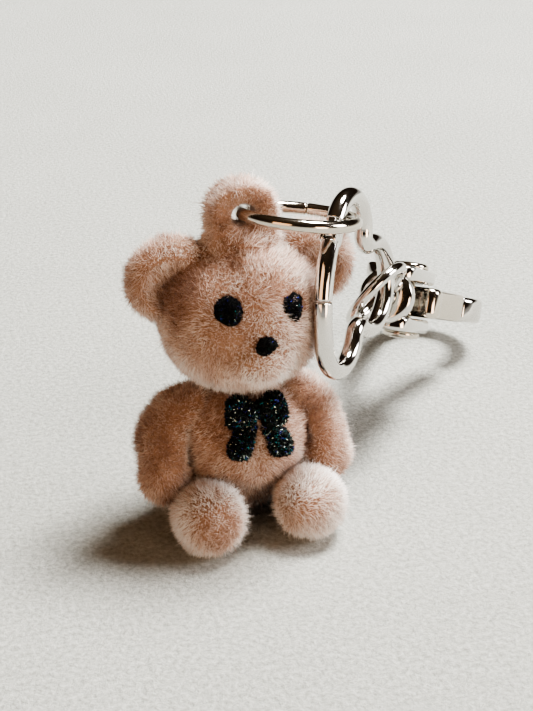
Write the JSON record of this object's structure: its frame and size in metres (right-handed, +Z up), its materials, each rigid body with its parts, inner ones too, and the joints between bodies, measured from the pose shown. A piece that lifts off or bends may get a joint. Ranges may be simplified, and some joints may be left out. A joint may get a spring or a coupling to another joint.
{
  "type": "plush keychain",
  "caption": "Flocked bear charm with a jump ring, a cloud-shaped spring-gate ring and a swivel trigger clasp.",
  "frame": {"origin": "middle of the flat seat under the torso", "axes": "the bear faces -Y, its left side is +X, +Z is up"},
  "size_m": [0.0586, 0.052, 0.0403],
  "materials": {
    "fur": "short dense flock",
    "dark_flock": "coarse glitter flock",
    "plating": "bright plated",
    "steel": "plain wire"
  },
  "bodies": {
    "torso": {"torso": "fur", "bow": "dark_flock"},
    "head": {"head": "fur", "eye_left": "dark_flock", "eye_right": "dark_flock", "nose": "dark_flock"},
    "arm_left": {"arm_left": "fur"},
    "arm_right": {"arm_right": "fur"},
    "leg_left": {"leg_left": "fur"},
    "leg_right": {"leg_right": "fur"},
    "jump_ring": {"jump_ring": "plating"},
    "cloud_ring": {"cloud_ring": "plating", "gate_pin": "steel"},
    "ring_gate": {"ring_gate": "plating", "gate_spring": "steel"},
    "swivel_eye": {"swivel_eye": "plating"},
    "clasp": {"clasp_body": "plating", "trigger_rivet": "plating"},
    "trigger": {"trigger": "plating", "trigger_spring": "steel"}
  },
  "joints": [
    {"name": "neck_turn", "type": "hinge", "parent": "torso", "child": "head", "pos_m": [0, -0.0006, 0.018], "axis": [0, 0, 1], "range_deg": [-60, 60]},
    {"name": "arm_left_swing", "type": "hinge", "parent": "torso", "child": "arm_left", "pos_m": [0.0069, 0.0001, 0.0128], "axis": [-0.9703, 0, -0.2419], "range_deg": [-20, 75]},
    {"name": "arm_right_swing", "type": "hinge", "parent": "torso", "child": "arm_right", "pos_m": [-0.0069, 0.0001, 0.0128], "axis": [-0.9703, 0, 0.2419], "range_deg": [-20, 75]},
    {"name": "leg_left_swing", "type": "hinge", "parent": "torso", "child": "leg_left", "pos_m": [0.0039, -0.0004, 0.0044], "axis": [1, 0, 0], "range_deg": [0, 70]},
    {"name": "leg_right_swing", "type": "hinge", "parent": "torso", "child": "leg_right", "pos_m": [-0.0039, -0.0004, 0.0044], "axis": [1, 0, 0], "range_deg": [0, 70]},
    {"name": "jump_ring_swing", "type": "hinge", "parent": "head", "child": "jump_ring", "pos_m": [0, -0.0002, 0.0369], "axis": [-0.2164, -0.9549, 0.2034], "range_deg": [0, 80]},
    {"name": "cloud_ring_swing", "type": "hinge", "parent": "jump_ring", "child": "cloud_ring", "pos_m": [0.01216, -0.00108, 0.03522], "axis": [0.1267, -0.9796, 0.156], "range_deg": [0, 50]},
    {"name": "ring_gate_hinge", "type": "hinge", "parent": "cloud_ring", "child": "ring_gate", "pos_m": [0.00892, -0.00446, 0.03517], "axis": [0.7273, -0.6783, 0.1045], "range_deg": [0, 24], "stiffness_Nm_per_rad": 0.002, "springref_deg": -5.73},
    {"name": "swivel_eye_swing", "type": "hinge", "parent": "cloud_ring", "child": "swivel_eye", "pos_m": [0.01907, 0.00446, 0.02237], "axis": [0.3494, 0.4971, 0.7943], "range_deg": [-4, 18]},
    {"name": "clasp_spin", "type": "hinge", "parent": "swivel_eye", "child": "clasp", "pos_m": [0.0179, 0.0041, 0.0231], "axis": [0.5229, 0.7357, -0.4305], "continuous": true},
    {"name": "trigger_hinge", "type": "hinge", "parent": "clasp", "child": "trigger", "pos_m": [0.02799, 0.0183, 0.01479], "axis": [0.2494, 0.3509, 0.9026], "range_deg": [0, 24], "stiffness_Nm_per_rad": 0.002, "springref_deg": -5.73}
  ]
}
